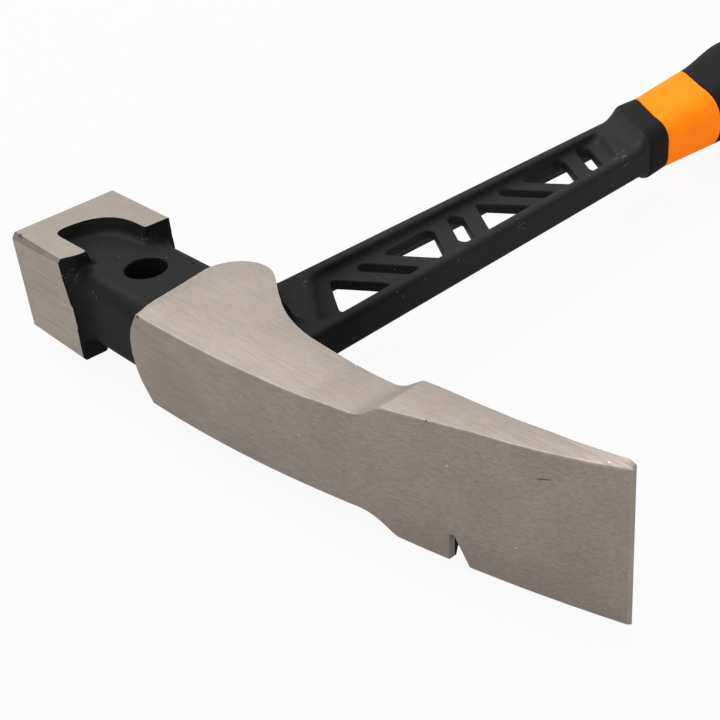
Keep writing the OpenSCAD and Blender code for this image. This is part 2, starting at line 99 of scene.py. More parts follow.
class Finish(Tree):
    """The tree of one material, round its Principled shader."""

    def __init__(self, name):
        self.mat = bpy.data.materials.new(name)
        self.mat.use_nodes = True
        super().__init__(self.mat.node_tree)
        self.bsdf = self.tree.nodes["Principled BSDF"]
        self.at = self.add("ShaderNodeTexCoord").outputs["Object"]

    def stretch(self, scale, turn):
        m = self.add("ShaderNodeMapping")
        self.feed(m.inputs["Vector"], self.at)
        m.inputs["Scale"].default_value = scale
        m.inputs["Rotation"].default_value = turn
        return m.outputs[0]

    def noise(self, vector, scale, detail=3.0, rough=0.5):
        n = self.add("ShaderNodeTexNoise")
        self.feed(n.inputs["Vector"], vector)
        self.feed(n.inputs["Scale"], scale)
        self.feed(n.inputs["Detail"], detail)
        self.feed(n.inputs["Roughness"], rough)
        return n.outputs["Fac"]

    def cells(self, scale):
        n = self.add("ShaderNodeTexVoronoi")
        self.feed(n.inputs["Vector"], self.at)
        self.feed(n.inputs["Scale"], scale)
        return n.outputs["Distance"]

    def y_of(self, vector):
        n = self.add("ShaderNodeSeparateXYZ")
        self.feed(n.inputs[0], vector)
        return n.outputs["Y"]

    def mix(self, fac, a, b, blend="MIX"):
        n = self.add("ShaderNodeMix", data_type="RGBA", blend_type=blend)
        self.feed(n.inputs[0], fac)
        self.feed(n.inputs[6], a if isinstance(a, bpy.types.NodeSocket) else (*a, 1))
        self.feed(n.inputs[7], b if isinstance(b, bpy.types.NodeSocket) else (*b, 1))
        return n.outputs[2]

    def bump(self, height, strength, normal=None):
        n = self.add("ShaderNodeBump")
        self.feed(n.inputs["Height"], height)
        n.inputs["Strength"].default_value = strength
        n.inputs["Distance"].default_value = BUMP_DEPTH
        self.feed(n.inputs["Normal"], normal)
        return n.outputs[0]

    def set(self, **values):
        for k, v in values.items():
            self.feed(self.bsdf.inputs[k.replace("_", " ")], v)

    def near(self, spots):
        """Mask of the given spots."""
        out = None
        for x, y, z, r in spots:
            v = self.add("ShaderNodeVectorMath", operation="DISTANCE")
            self.feed(v.inputs[0], self.at)
            v.inputs[1].default_value = placed((x, y, z))
            spot = self.span(v.outputs["Value"], r * MM, r * MM / 2)
            out = spot if out is None else self.math("MAXIMUM", out, spot)
        return out

    def flecks(self, scale, size, group_scale, groups):
        """Mask of small flecks that lie in loose groups."""
        dots = self.span(self.cells(scale), *size)
        return self.math("MULTIPLY", dots, self.span(self.noise(self.at, group_scale, 2), *groups))

    def blade_scratch(self):
        """Mask of one short scratch on the blade."""
        m = self.add("ShaderNodeMapping", vector_type="TEXTURE")
        self.feed(m.inputs["Vector"], self.at)
        m.inputs["Location"].default_value = placed((87.3, 15.44, 10.5))
        m.inputs["Rotation"].default_value = (0, -0.24, 0.306)
        m.inputs["Scale"].default_value = (0.0019, 0.0004, 0.00018)
        away = self.add("ShaderNodeVectorMath", operation="LENGTH")
        self.feed(away.inputs[0], m.outputs[0])
        return self.span(away.outputs["Value"], 1, 0.5, 0, 0.75)


def paint_black():
    n = Finish("paint_black")
    deep, satin, shaft_black = (0.0095, 0.0092, 0.0092), (0.0145, 0.014, 0.0138), (0.034, 0.033, 0.0325)
    painted_shade, rubbed, dusty = (0.003, 0.003, 0.003), (0.2, 0.19, 0.18), (0.26, 0.25, 0.24)
    patch = n.noise(n.at, 60)
    base = n.mix(n.span(patch, 0.3, 0.7), deep, satin)
    # the black turns lighter and greyer along the shaft
    base = n.mix(n.span(n.y_of(n.at), *SHAFT_GREYS, 0, 0.6), base, shaft_black)
    # painted shade: the black is darkest in the corner of cheek and shaft
    base = n.mix(n.math("MULTIPLY", n.near(ROOT_SHADE), 0.8), base, painted_shade)
    # rubbed places where the paint has gone grey
    scratches = n.span(n.noise(n.stretch((1600, 500, 1600), (0.3, 0.2, 0.6)), 1, 4, 0.7), 0.56, 0.64)
    worn = n.math("MULTIPLY", n.math("MULTIPLY", n.near(RUBBED), scratches), 0.8)
    base = n.mix(worn, base, rubbed)
    base = n.mix(n.flecks(420, (0.09, 0.04), 160, (0.53, 0.6)), base, dusty)
    n.set(Base_Color=base, Roughness=n.span(patch, 0.3, 0.7, 0.44, 0.54), Specular_IOR_Level=0.16,
          Normal=n.bump(n.noise(n.at, 900, 4), 0.3))
    return n.mat


def ground_steel(name, light, dark, rough, front=1.0):
    """Belt-ground steel. The faces that look forward get painted light: their colour is multiplied by the
    factor front.
    """
    n = Finish(name)
    groove, pitted = (0.26, 0.215, 0.18), (0.09, 0.075, 0.066)
    scratched, bright = (0.05, 0.042, 0.038), (0.95, 0.91, 0.87)
    lines = n.noise(n.stretch((80, 2600, 3200), BELT_TURN), 1, 2.5, 0.65)
    grain = n.noise(n.stretch((500, 2600, 2600), BELT_TURN), 1, 3, 0.6)
    base = n.mix(n.span(n.noise(n.at, 70), 0.3, 0.7), dark, light)
    # the faces that look forward get more of the dark belt lines than the lands: real lines, drawn stronger
    # there as painted shade
    fore = n.span(n.y_of(n.add("ShaderNodeTexCoord").outputs["Normal"]), -0.6, -0.95)
    share = n.span(fore, 0, 1, 0.15, 0.34)
    base = n.mix(n.math("MULTIPLY", n.span(lines, 0.38, 0.66), share), base, groove)
    base = n.mix(n.span(grain, 0.4, 0.75, 0, 0.22), base, groove)
    pits = n.span(n.noise(n.at, 1500), 0.4, 0.5)
    base = n.mix(n.math("MULTIPLY", n.near(NICKS), pits), base, pitted)
    base = n.mix(n.blade_scratch(), base, scratched)
    base = n.mix(n.flecks(300, (0.075, 0.03), 110, (0.545, 0.61)), base, bright)
    # painted light: the forward faces are made lighter by the factor front
    if front != 1.0:
        base = n.mix(fore, base, (front, front, front), "MULTIPLY")
    n.set(Base_Color=base, Roughness=n.span(lines, 0.3, 0.7, rough - 0.06, rough + 0.06),
          Normal=n.bump(grain, 0.25, n.bump(lines, 0.2)), Metallic=0.45, Specular_IOR_Level=0.6)
    return n.mat


def orange_plastic():
    n = Finish("orange_plastic")
    soft = n.noise(n.at, 90)
    fine = n.noise(n.at, 1400)
    n.set(Base_Color=n.mix(n.span(soft, 0.3, 0.7), (0.97, 0.37, 0.003), (1.0, 0.41, 0.004)),
          Roughness=n.span(fine, 0.3, 0.7, 0.44, 0.54), Normal=n.bump(fine, 0.12))
    # the orange is given a red glow of its own: painted light that keeps it bright and red
    n.set(Specular_IOR_Level=0.12, Emission_Color=(1, 0.015, 0.0, 1), Emission_Strength=0.45)
    return n.mat


def soft_black():
    n = Finish("soft_black")
    fine = n.noise(n.at, 1600, 4)
    patch = n.noise(n.at, 80)
    n.set(Base_Color=n.mix(n.span(patch, 0.3, 0.7), (0.011, 0.0102, 0.01), (0.017, 0.0155, 0.015)),
          Roughness=n.span(patch, 0.3, 0.7, 0.55, 0.65), Specular_IOR_Level=0.15, Normal=n.bump(fine, 0.35))
    return n.mat


black, orange, soft = paint_black(), orange_plastic(), soft_black()
# front is painted light on the faces that look forward: slight on the blade, strong on the poll
steel = ground_steel("ground_steel", light=(0.54, 0.46, 0.405), dark=(0.48, 0.405, 0.355), rough=0.5,
                     front=1.02)
poll_steel = ground_steel("poll_steel", light=(0.51, 0.44, 0.375), dark=(0.455, 0.39, 0.33), rough=0.5,
                          front=1.24)
# lighter copy of the steel for the bevels along the blade's front and tip: painted highlight
edge = ground_steel("edge_highlight", light=(0.6, 0.52, 0.45), dark=(0.54, 0.465, 0.4), rough=0.46)
# darker copy of the steel for the poll's bevels: painted shade
poll_bevel_shade = ground_steel("bevel_shade", light=(0.36, 0.31, 0.27), dark=(0.27, 0.23, 0.2), rough=0.55)

# Curves and surfaces


def smin(a, b, k):
    """The smaller value, with a soft change over of width k."""
    h = np.clip(k - np.abs(a - b), 0, None) / k
    return np.minimum(a, b) - h * h * k / 4


def smax(a, b, k):
    return -smin(-a, -b, k)


def ramp(v, lo, hi):
    """0 below lo and 1 above hi, with a smooth step between them."""
    t = np.clip((v - lo) / (hi - lo), 0, 1)
    return t * t * (3 - 2 * t)


def rounded(x, z, a, b, r):
    """Distance to a rounded rectangle of half sizes a and b."""
    qx, qz = np.abs(x) - a + r, np.abs(z) - b + r
    return np.hypot(np.maximum(qx, 0), np.maximum(qz, 0)) + np.minimum(np.maximum(qx, qz), 0) - r


def smooth_curve(points):
    """Dense table of a Catmull-Rom curve through (x, y) points."""
    p = np.array([points[0], *points, points[-1]], float)
    t = np.linspace(0, 1, 8, endpoint=False)[:, None]
    out = []
    for a, b, c, d in zip(p, p[1:], p[2:], p[3:]):
        bend = 2 * a - 5 * b + 4 * c - d
        twist = 3 * b - a - 3 * c + d
        out.append(0.5 * (2 * b + (c - a) * t + bend * t**2 + twist * t**3))
    return np.vstack([*out, p[-1:]])


def fillet(corners):
    """Outline through (x, y, radius) corners, open at both ends."""
    steps = 10
    out = [corners[0][:2]]
    for p, q, s in zip(corners, corners[1:], corners[2:]):
        o, u, v = Vector(q[:2]), Vector(p[:2]), Vector(s[:2])
        u, v = (u - o).normalized(), (v - o).normalized()
        half = u.angle(v) / 2
        reach = q[2] / math.tan(half)
        mid = o + (u + v).normalized() * (q[2] / math.sin(half))
        a, b = (o + u * reach - mid).normalized(), (o + v * reach - mid).normalized()
        for i in range(steps + 1):
            out.append(tuple(mid + a.slerp(b, i / steps) * q[2]))
    out.append(corners[-1][:2])
    return np.array(out)


# value of a field well outside the solid
OUTSIDE = 9.0


def cell_points(grid, f):
    """A point in each cell that the surface crosses, the cells' point numbers, and for each axis
    which grid edges are crossed and which start inside."""
    inside = f < 0
    n = np.array(f.shape)
    total = np.zeros((*(n - 1), 3))
    hits = np.zeros(n - 1)
    crossed = []
    for a in range(3):
        lo = tuple(slice(0, -1) if k == a else slice(None) for k in range(3))
        hi = tuple(slice(1, None) if k == a else slice(None) for k in range(3))
        cut = inside[lo] != inside[hi]
        crossed.append((cut, inside[lo]))
        share = np.where(cut, f[lo] / np.where(cut, f[lo] - f[hi], 1), 0)
        place = [g[lo] for g in grid]
        place[a] = place[a] + share * (grid[a][hi] - grid[a][lo])
        b, c = [k for k in range(3) if k != a]
        for db, dc in ((0, 0), (0, 1), (1, 0), (1, 1)):
            s = [slice(None)] * 3
            s[b] = slice(db, n[b] - 1 + db)
            s[c] = slice(dc, n[c] - 1 + dc)
            s = tuple(s)
            hits += cut[s]
            for k in range(3):
                total[..., k] += cut[s] * place[k][s]
    used = hits > 0
    ids = np.full(hits.shape, -1)
    ids[used] = np.arange(used.sum())
    return total[used] / hits[used][:, None], ids, crossed


def cell_quads(ids, crossed):
    """A quad round each crossed grid edge, wound so that it looks outwards."""
    quads = []
    for a, (cut, start) in enumerate(crossed):
        b, c = (a + 1) % 3, (a + 2) % 3
        at = np.argwhere(cut)
        at = at[(at[:, b] > 0) & (at[:, c] > 0) & (at[:, b] < ids.shape[b]) & (at[:, c] < ids.shape[c])]
        loop = []
        for db, dc in ((1, 1), (0, 1), (0, 0), (1, 0)):
            k = at.copy()
            k[:, b] -= db
            k[:, c] -= dc
            loop.append(ids[tuple(k.T)])
        q = np.array(loop).T
        out = start[tuple(at.T)]
        quads += [q[out], q[~out][:, ::-1]]
    return np.vstack(quads)


def pulled(field, verts, cell):
    """The points moved on to the surface in small steps."""
    probe, least_slope, reach = 0.03, 0.05, 0.4 * cell
    for _ in range(3):
        v = field(*verts.T)
        sides = [field(*(verts + d).T) - field(*(verts - d).T) for d in np.eye(3) * probe]
        g = np.array(sides).T / (2 * probe)
        step = (v / np.maximum((g * g).sum(1), least_slope))[:, None] * g
        length = np.linalg.norm(step, axis=1, keepdims=True)
        verts = verts - step * np.minimum(1, reach / np.maximum(length, 1e-9))
    return verts


def surface(field, axes, cell, blocks=((0, 0, 0),)):
    """Points and quads of the surface where the field is zero.

    Only the given blocks of the grid are looked at; the rest is empty."""
    grid = np.meshgrid(*axes, indexing="ij")
    f = np.full(grid[0].shape, OUTSIDE)
    for b in blocks:
        b = tuple(k or slice(None) for k in b)
        f[b] = field(*[g[b] for g in grid])
    verts, ids, crossed = cell_points(grid, f)
    return pulled(field, verts, cell), cell_quads(ids, crossed)


def loft(rings):
    """Closed solid through rings of equally many points."""
    n = len(rings[0])
    verts = [p for r in rings for p in r]
    faces = [(k * n + i, k * n + (i + 1) % n, (k + 1) * n + (i + 1) % n, (k + 1) * n + i)
             for k in range(len(rings) - 1) for i in range(n)]
    faces += [tuple(range(n - 1, -1, -1)), tuple(range((len(rings) - 1) * n, len(rings) * n))]
    bm = bmesh.new()
    vs = [bm.verts.new(v) for v in verts]
    for f in faces:
        bm.faces.new([vs[i] for i in f])
    bmesh.ops.recalc_face_normals(bm, faces=bm.faces[:])
    return bm


def mesh_object(name, bm_or_data, materials):
    mesh = bpy.data.meshes.new(name)
    if isinstance(bm_or_data, bmesh.types.BMesh):
        bm_or_data.to_mesh(mesh)
        bm_or_data.free()
    else:
        mesh.from_pydata(*bm_or_data)
    for m in materials:
        mesh.materials.append(m)
    o = bpy.data.objects.new(name, mesh)
    bpy.context.scene.collection.objects.link(o)
    return o


def slice_off(bm, point, normal, material):
    """Cuts away what lies beyond a plane and closes the cut."""
    geom = bm.verts[:] + bm.edges[:] + bm.faces[:]
    cut = bmesh.ops.bisect_plane(bm, geom=geom, plane_co=point, plane_no=normal, clear_outer=True, dist=1e-4)
    edges = [e for e in cut["geom_cut"] if isinstance(e, bmesh.types.BMEdge) and e.is_boundary]
    for f in bmesh.ops.edgenet_fill(bm, edges=edges)["faces"]:
        f.normal_update()
        if f.normal.dot(Vector(normal)) < 0:
            f.normal_flip()
        f.material_index = material


def boolean(target, cutter, operation):
    m = target.modifiers.new("cut", "BOOLEAN")
    m.operation = operation
    m.solver = "MANIFOLD"
    m.object = cutter
    deps = bpy.context.evaluated_depsgraph_get()
    mesh = bpy.data.meshes.new_from_object(target.evaluated_get(deps), depsgraph=deps)
    target.modifiers.clear()
    old, target.data = target.data, mesh
    bpy.data.meshes.remove(old)
    bpy.data.objects.remove(cutter)


# Forged head and shaft, in millimetres

# x runs from the shaft's centre line to the blade, y from the cheek's front to the grip, z from the
# middle plane up. The poll's ground faces:
POLL_HALF = 13.6
POLL_FRONT = 0.6
POLL_BACK = 30.0
POLL_FACE = -67.8
# the forging stands proud of them before it is ground
RAW_HALF = 14.4
RAW_FRONT = -0.3
RAW_BACK = 30.9
RAW_FACE = -69
# the pockets of the poll's upper and lower faces
POCKET_FRONT = 7.4
POCKET_BACK = 23.2
POCKET_END = -59.5
POCKET_FLOOR = 7
POCKET_DRAFT = 0.32
# the poll and the blade are two meshes that meet at x = SPLIT, inside the painted neck
SPLIT = -26.0
# the neck, and the round hole across it
NECK_MID = 15.3
NECK_DEEP = 12.4
NECK_HIGH = 9.9
NECK_R = 4.2
HOLE_X = -33
HOLE_R = 5
# the blade's front is an arc that starts at FRONT_X, and its edge is at TIP
FRONT_R = 333.5
FRONT_X = -13.0
TIP = 102.38
# the grip starts at y = GRIP, is cut off on a slant there, and its centre line lies at x = -GRIP_X
SLANT = 0.62
GRIP = 151.5
GRIP_X = 0.6
# rounding at the cheek's heel: its centre moves out with the forged bulge
HEEL_R = 9.5
HEEL_X = -8.8
HEEL_Y = 22.2
HEEL_SLOPE = 0.657
BULGE = 3.7
# hollow behind the nail notch: centre and half sizes
HOLLOW_AT = (71, 19.8, -17.2)
HOLLOW_HALF = (8.5, 8.4, 9.5)
# windows of the web, four kinds in turn
WINDOW_FROM = 48
WINDOW_PITCH = 12.4
WINDOW_COUNT = 8
WINDOW_HALF = 6.6
TRIANGLE_HALF = 4.6
SLOT_R = 1.9
# the web's recess between the flanges
FLANGE = 3.4
WEB_HALF = 1.4
BAR_THICK = 4
RECESS_FROM = 37
RECESS_TO = 142.4
# the bolster: where the shaft begins to flare, over what length, and how wide it gets
FLARE_FROM = 146.2
FLARE_RUN = 5.3
BOLSTER_HALF = 10.75
INTO_COLLAR = 1.7

# materials of the two meshes by number; the last is for bevels: painted highlight on the blade, painted
# shade on the poll
PAINTED, GROUND, BEVEL_SLOT = 0, 1, 2

# the back of cheek and blade, and the half widths of the blade's two sides, all along x
BACK = smooth_curve([
    (-40, 54.1), (-20, 40.95), (-5, 31.1), (0, 27.8), (5, 24.55), (10, 21.93), (15, 20.13), (20, 19.03),
    (25, 18.56), (30, 18.3), (36, 18.0), (42, 17.87), (48, 18.15), (54, 18.77), (60, 19.18), (66, 19.2),
    (72, 19.33), (78, 19.7), (84, 20.25), (90, 21.0), (99.6, 22.3), (106, 23.3)])
UPPER = fillet([(-40, 11.92, 0), (49.4, 11.15, 7), (55, 14.9, 1.2), (104, 18.0, 0)])
LOWER = fillet([(-40, 11.92, 0), (50.8, 11.15, 11), (56.6, 14.9, 2.5), (104, 18.0, 0)])
# how far the upper land's front edge rises above its back edge along the blade
LIFT = smooth_curve([(36, 0), (44, 0.42), (70, 0.42), (76, 0.17), (82, -0.3), (88, -0.62), (94, -0.78),
                     (99, -0.8), (TIP, -0.72)])


def back_at(x):
    return np.interp(x, *BACK.T)


def top_at(x):
    return np.interp(x, *UPPER.T)


def low_at(x):
    return -np.interp(x, *LOWER.T)


def front_at(x):
    run = np.clip(x - FRONT_X, 0, None)
    return FRONT_R - np.sqrt(FRONT_R**2 - run**2)


def bar_half(y):
    """Half width of the shaft, which tapers towards the grip."""
    at_head, taper, head_y, run = 13.1, 2.9, 19.2, 132.3
    return at_head - taper * (y - head_y) / run


def leaning(x):
    """How far the slant has run at x: it flattens on the blade's side."""
    return smin(x, 3.9 + 0.35 * x, 1.6)


def shoulder_at(y, z):
    """The poll's forged shoulder: it leans, and steps at the dies' parting."""
    front = np.interp(z, [-12.8, -4.6, -4.3, 1.5, 2.3, 4.6, 7.8, 12.3],
                      [-44.8, -44.85, -44.5, -44.55, -45.3, -45.7, -46.1, -46.4])
    lean = -44.93 + 1.75 * y / 30
    return lean + (front + 44.9) * np.exp(-(((y - POLL_FRONT) / 3.2) ** 2))


def cheek_wall(y, z, bulge):
    """Where the forged cheek ends towards the poll."""
    land = np.interp(y, [0.5, 3.3, 6.3, 12.3, 18.7, 22, 40], [-15.0, -15.5, -16, -16.8, -17.8, -18.3, -18.5])
    corner = np.interp(np.abs(z), [0, 3.9, 7, 9.4, 11, 11.7], [-19.4, -18.9, -17.7, -15.95, -14.7, -14.2])
    return corner + (land - bulge - corner) * ramp(y, -1, 4.5)


def triangle(x, v, side):
    """Triangular window, with its long side towards one flange."""
    slopes = (np.hypot(v, 0.7) + SLANT * side * x - TRIANGLE_HALF) / math.hypot(1, SLANT)
    return smax(slopes, -side * x - WINDOW_HALF, 2.6)


def slot(x, v, lean, shift, half):
    """Slanted window with round ends."""
    size = math.hypot(1, SLANT)
    along = np.abs(x + lean * v + shift) / size - half
    return np.hypot(np.maximum(along, 0), (v - lean * x) / size) - SLOT_R


def windows(x, y):
    """Distance to the nearest window of the web, seen from above."""
    out = np.full(np.shape(x), OUTSIDE)
    for k in range(WINDOW_COUNT):
        v = y - WINDOW_FROM - WINDOW_PITCH * k
        kind = k % 4
        if kind == 1:
            one = slot(x, v, SLANT, 0, 5.6)
        elif kind == 3:
            one = slot(x, v, -SLANT, 0.8, 5)
        else:
            one = triangle(x, v, kind - 1)
        out = np.minimum(out, one)
    return out


def recess(x, y, high):
    """One recess of the web: its walls have draft and its ends are slanted."""
    deep = BAR_THICK - high
    lean = SLANT * 1.1
    size, wall_draft, start_draft, end_draft = 1.21, 0.12, 0.95, 0.75
    side = np.abs(x) - bar_half(y) + FLANGE
    start = (RECESS_FROM - y - lean * x) / size + deep * start_draft
    end = (y + lean * x - RECESS_TO) / size + deep * end_draft
    ends = np.maximum(start / 1.38, end / 1.25)
    return smax(smax(side + wall_draft * deep, ends, 2.8), WEB_HALF - high, 1.9)


def shaft_bar(x, y, z):
    """Shaft with its recesses and windows, and the bolster that it flares into."""
    s = y + SLANT * leaning(x + GRIP_X)
    flare = np.clip((s - FLARE_FROM) / FLARE_RUN, 0, 1) ** 1.7
    half = bar_half(np.minimum(y, 152.5)) - 0.03 + flare * (BOLSTER_HALF - bar_half(146.5))
    thick, corner = 3.97 + 2.8 * flare, 1.4 + 2.6 * flare
    bar = rounded(x + GRIP_X * flare, z, half, thick, corner)
    bar = smax(bar, -recess(x, y, np.abs(z)), 0.9)
    bar = smax(bar, -windows(x, y), 0.55)
    # both ends lie inside other parts: one in the cheek, the other in the collar
    inside_cheek = 10
    return np.maximum(smax(bar, s - GRIP - INTO_COLLAR, 1.0), inside_cheek - y)


def raw_poll(x, y, z):
    """Poll before grinding, with the pockets of its upper and lower faces."""
    high = np.abs(z)
    sides = np.maximum(np.maximum(y - RAW_BACK, RAW_FRONT - y), high - RAW_HALF)
    poll = smax(x - shoulder_at(y, z), np.maximum(sides, RAW_FACE - x), 1.6)
    rim = smax(smax(y - POCKET_BACK, POCKET_END - x, 13), POCKET_FRONT - y, 3.2)
    pocket = np.maximum(rim + POCKET_DRAFT * (POLL_HALF - high), POCKET_FLOOR - high)
    return smax(poll, -pocket, 0.8)


def raw_neck(x, y, z):
    """Neck, which runs on into the poll and the cheek."""
    in_poll, in_cheek = -63, 4
    neck = rounded(y - NECK_MID, z, NECK_DEEP, NECK_HIGH, NECK_R)
    return np.maximum(neck, np.maximum(in_poll - x, x - in_cheek))


def raw_cheek(x, y, z):
    """Cheek and blade before grinding."""
    bulge = BULGE * np.clip(1 - (np.abs(z) / 11.75) ** 2, 0, 1)
    cx, cy = HEEL_X - bulge, HEEL_Y + HEEL_SLOPE * bulge
    round_heel = (y > cy) & (cx - x + (y - cy) * HEEL_SLOPE > 0)
    cheek = np.maximum(cheek_wall(y, z, bulge) - x, (y - back_at(x)) * 0.85)
    cheek = np.where(round_heel, np.hypot(x - cx, y - cy) - HEEL_R, cheek)
    # the forging stands 1 mm proud of the ground lands, and less than that near the edge
    lands = np.where(z > 0, z - top_at(x), low_at(x) - z)
    cheek = smax(cheek, lands - 1.0 + 0.75 * ramp(x, 82, 92), 1.2)
    # with the hollow behind it the notch's rim can grip a nail
    u, v, w = [((p - at) / half) ** 2 for p, at, half in zip((x, y, z), HOLLOW_AT, HOLLOW_HALF)]
    hollow = 8 * (np.sqrt(u + v + w) - 1)
    cheek = smax(cheek, -hollow, 0.8)
    return np.maximum(cheek, np.maximum(front_at(x) - 1.2 - y, x - 104))


def raw_forging(x, y, z):
    """The whole forging before grinding, with soft blends between its parts."""
    soft_neck = 3.8 - 2.4 * ramp(np.abs(z), 7.5, 9.6)
    body = smin(raw_poll(x, y, z), raw_neck(x, y, z), soft_neck)
    body = smin(smin(body, raw_cheek(x, y, z), 2.4), shaft_bar(x, y, z), 3.6)
    return smax(body, HOLE_R - np.hypot(x - HOLE_X, y - NECK_MID), 0.6)


def poll_planes():
    """The ground planes of the poll, and the bevels between them."""
    y0, y1, h, x0 = POLL_FRONT, POLL_BACK, POLL_HALF, POLL_FACE
    at_face, at_shoulder, deep, chamfer = 1.5, 0.9, 1.1, 0.2
    planes = [((0, 0, h), (0, 0, 1)), ((0, 0, -h), (0, 0, -1)), ((0, y0, 0), (0, -1, 0)),
              ((0, y1, 0), (0, 1, 0)), ((x0, 0, 0), (-1, 0, 0))]
    bevels = []
    for s in (1, -1):
        # the front bevel narrows towards the shoulder
        a = Vector((x0, y0, s * (h - at_face)))
        b = Vector((x0, y0 + deep, s * h))
        c = Vector((-44.5, y0, s * (h - at_shoulder)))
        n = (b - a).cross(c - a).normalized()
        bevels.append((a, n if n.z * s > 0 else -n))
        planes.append(((0, y1 - chamfer, s * h), (0, 1, s)))
        planes.append(((x0 + chamfer, 0, s * h), (-1, 0, s)))
    planes += [((x0 + 0.15, y0, 0), (-1, -1, 0)), ((x0 + 0.3, y1, 0), (-1, 1, 0))]
    cuts = [(p, n, GROUND) for p, n in planes] + [(p, n, BEVEL_SLOT) for p, n in bevels]
    return [(p, Vector(n).normalized(), material) for p, n, material in cuts]


def envelope_ring(x):
    """Section at x of what the grinding leaves: four sides with rounded corners."""
    front = float(front_at(x)) + float(np.interp(x, [101.9, TIP], [0, 0.5]))
    top, low = float(top_at(x)), float(low_at(x))
    rear = float(np.interp(x, [20, 60, 99.6, 101.95, TIP], [170, 36, 22.4, 21.55, 21.3]))
    rear = max(rear, front + 0.06)
    lift = float(np.interp(x, *LIFT.T))
    # the land keeps its height at the forging's back, which lies before the envelope's
    back = float(back_at(x))
    rise = max(-lift, 0) * max(rear - back, 0) / (back - front)
    most = 0.4 * (rear - front)
    r_low, r_top, r_rear = (min(most, r) for r in (0.3, 0.3 + 0.4 * float(ramp(x, 76, 98)), 0.12))
    corners = ((front + r_low, low + r_low, r_low), (front + r_top, top + lift - r_top, r_top),
               (rear - r_rear, top + rise - r_rear, r_rear), (rear - r_rear, low + r_rear, r_rear))
    ring = []
    for k, (cy, cz, r) in enumerate(corners):
        for i in range(4):
            a = math.radians(270 - 90 * k - 30 * i)
            ring.append((x, cy + r * math.cos(a), cz + r * math.sin(a)))
    return ring


def ground_envelope():
    """What the grinding leaves of cheek and blade: lands, front and edge."""
    runs = [np.arange(SPLIT - 1, -15, 3), np.arange(-15, 42, 1.2), np.arange(42, 62, 0.35),
            np.arange(62, 99, 1.2), np.arange(99, 101.8, 0.5), [99.6, 101.9, 101.95, TIP]]
    envelope = loft([envelope_ring(float(x)) for x in np.unique(np.round(np.concatenate(runs), 3))])
    for f in envelope.faces:
        n, mid = f.normal, f.calc_center_median()
        slant = abs(n.y) > 0.25 and abs(n.z) > 0.25 and abs(n.x) < 0.45
        corner = slant and mid.x < 97 and mid.y < front_at(mid.x) + 1
        f.material_index = BEVEL_SLOT if corner or n.x > 0.45 else GROUND
    return envelope


def notch_cutter():
    """Nail notch: its far walls are still painted where the back was."""
    painted_from = 11.6
    profile = ((67.73, -19.75), (74.15, -19.75), (69.45, -9.0), (68.45, -9.0))
    bm = loft([[(x, y, z) for x, z in profile] for y in (0, painted_from, 40)])
    for f in bm.faces:
        f.material_index = GROUND if f.calc_center_median().y < painted_from else PAINTED
    return bm


def head():
    """Poll and blade: one surface, cut in two and ground flat."""
    # the grid is fine round the head, and only the shaft's own block of it is looked at beyond
    fine, shaft_from, bar_side = 0.5, 46, 14.5
    axes = (np.concatenate([np.arange(-69.6, 26, fine), np.arange(26, 105.5, 1.5)]),
            np.concatenate([np.arange(-2.1, shaft_from, fine), np.arange(shaft_from, 162, 0.6)]),
            np.concatenate([np.arange(-19.5, -6, fine), np.arange(-6, 6, 0.4), np.arange(6, 19.6, fine)]))
    across = slice(*np.searchsorted(axes[0], (-bar_side, bar_side)))
    far = np.searchsorted(axes[1], shaft_from)
    blocks = ((0, slice(0, far), 0), (across, slice(far, None), slice(22, -22)))
    verts, quads = surface(raw_forging, axes, fine, blocks)
    left = bmesh.new()
    vs = [left.verts.new(v) for v in verts]
    for q in quads:
        left.faces.new([vs[i] for i in q])
    right = left.copy()
    slice_off(left, (SPLIT, 0, 0), (1, 0, 0), PAINTED)
    for point, normal, material in poll_planes():
        slice_off(left, point, normal, material)
    slice_off(right, (SPLIT, 0, 0), (-1, 0, 0), PAINTED)
    blade_materials = (black, steel, edge)
    poll = mesh_object("poll_half", left, (black, poll_steel, poll_bevel_shade))
    blade = mesh_object("blade_half", right, blade_materials)
    boolean(blade, mesh_object("envelope", ground_envelope(), blade_materials), "INTERSECT")
    boolean(blade, mesh_object("notch", notch_cutter(), blade_materials), "DIFFERENCE")
    return poll, blade


# Grip, in millimetres

COLLAR_END = 159.7
BAND_FROM = 159.8
BAND_END = 180.8
SLEEVE_FROM = 180.9
SLEEVE_END = 267.9
CAP_FROM = 268
BUTT = 290
HANG_Y = 280
HANG_R = 4
# distance from the grip's start, half width, half thickness and rounding
STATIONS = np.array([
    [0, 11.1, 7.15, 4.4], [8.3, 10.8, 7.0, 4.84], [29.3, 12.9, 8.4, 7.73], [50.3, 15.035, 11.155, 10.26],
    [71.3, 15.5, 11.5, 10.58], [101.1, 15.035, 11.27, 10.37], [116.5, 16.975, 11.76, 10.82],
    [128.5, 17.5, 12, 11.04], [138.5, 16.8, 11.52, 10.6]])


def grip_size(y):
    """Half width, half thickness and rounding of the grip at y."""
    t = np.asarray(y, float) - GRIP
    k = np.clip(np.searchsorted(STATIONS[:, 0], t, side="right") - 1, 0, len(STATIONS) - 2)
    f = (t - STATIONS[k, 0]) / (STATIONS[k + 1, 0] - STATIONS[k, 0])
    # the first two stretches are straight, the others are smooth
    f = np.where(k < 2, f, f * f * (3 - 2 * f))
    return [STATIONS[k, c] + (STATIONS[k + 1, c] - STATIONS[k, c]) * f for c in (1, 2, 3)]


def tilt_at(y):
    """Slant of the grip's sections, which fades out along the sleeve."""
    return SLANT * (1 - np.clip((y - BAND_END) / (CAP_FROM - BAND_END), 0, 1))


